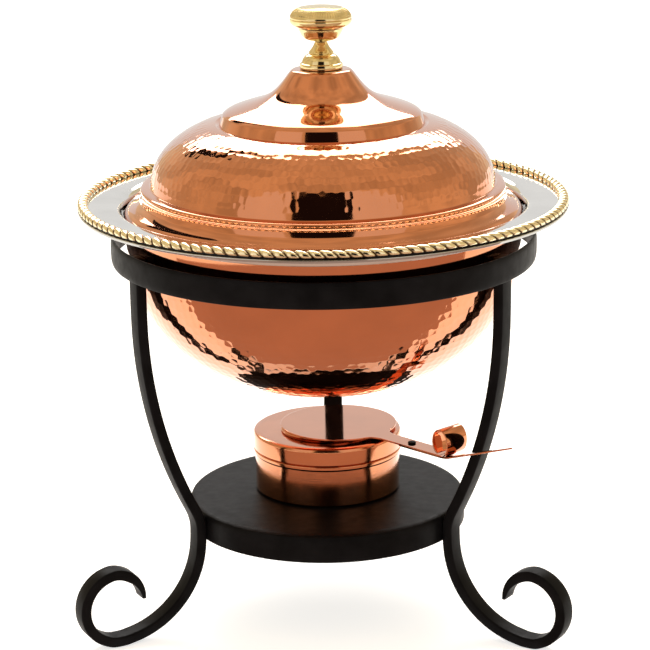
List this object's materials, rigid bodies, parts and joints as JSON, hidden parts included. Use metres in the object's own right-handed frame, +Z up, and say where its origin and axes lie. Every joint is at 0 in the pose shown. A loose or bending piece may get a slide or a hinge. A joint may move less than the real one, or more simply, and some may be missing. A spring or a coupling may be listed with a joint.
{
  "type": "chafing dish food warmer",
  "caption": "Round hammered-copper chafing dish with lid, food pan and water pan on a wrought-iron tripod stand, with a burner and snuffer cover on its tray.",
  "frame": {"origin": "on the floor, under the middle of the whole object's bounding box; the stand's axis is 11.2 mm towards the front of it", "axes": "+Z up, -Y towards the front of the dish, where the two front legs and the snuffer's thumb curl are, +X to the right seen from the front"},
  "size_m": [0.3152, 0.3344, 0.397],
  "materials": {
    "black_iron": "satin black paint on forged iron",
    "polished_copper": "polished copper, hammered on the dome and the bowl",
    "mirror_steel": "mirror-polished stainless steel",
    "polished_brass": "polished brass",
    "plain_steel": "plain stainless steel",
    "wick_fibre": "pale fibre wadding"
  },
  "bodies": {
    "stand": {"stand_hoop": "black_iron", "leg_back": "black_iron", "leg_front_left": "black_iron", "leg_front_right": "black_iron", "burner_tray": "black_iron"},
    "outer_pan": {"water_pan": "polished_copper"},
    "inner_pan": {"food_pan": "mirror_steel", "rope_border": "polished_brass"},
    "lid": {"lid_dome": "polished_copper", "knob_foot": "polished_brass", "knob_cup": "polished_brass", "knob_cap": "polished_brass", "knob_screw": "plain_steel", "knob_washer": "plain_steel"},
    "burner": {"burner_can": "polished_copper", "fuel_cup": "plain_steel", "wick_pad": "wick_fibre", "wick_screen": "plain_steel"},
    "cap": {"burner_cap": "polished_copper"},
    "snuffer": {"snuffer_cover": "polished_copper", "snuffer_curl": "polished_copper", "snuffer_tail": "polished_copper", "snuffer_rivet": "black_iron"}
  },
  "joints": [
    {"name": "water_pan_lift", "type": "slide", "parent": "stand", "child": "outer_pan", "axis": [0, 0, 1], "range_m": [0, 0.12]},
    {"name": "food_pan_lift", "type": "slide", "parent": "outer_pan", "child": "inner_pan", "axis": [0, 0, 1], "range_m": [0, 0.08]},
    {"name": "lid_lift", "type": "slide", "parent": "inner_pan", "child": "lid", "axis": [0, 0, 1], "range_m": [0, 0.12]},
    {"name": "burner_slide", "type": "slide", "parent": "stand", "child": "burner", "axis": [0, -1, 0], "range_m": [0, 0.16]},
    {"name": "cap_lift", "type": "slide", "parent": "burner", "child": "cap", "axis": [0, 0, 1], "range_m": [0, 0.016]},
    {"name": "snuffer_slide", "type": "slide", "parent": "cap", "child": "snuffer", "axis": [-0.1736, -0.9848, 0], "range_m": [0, 0.06]}
  ]
}
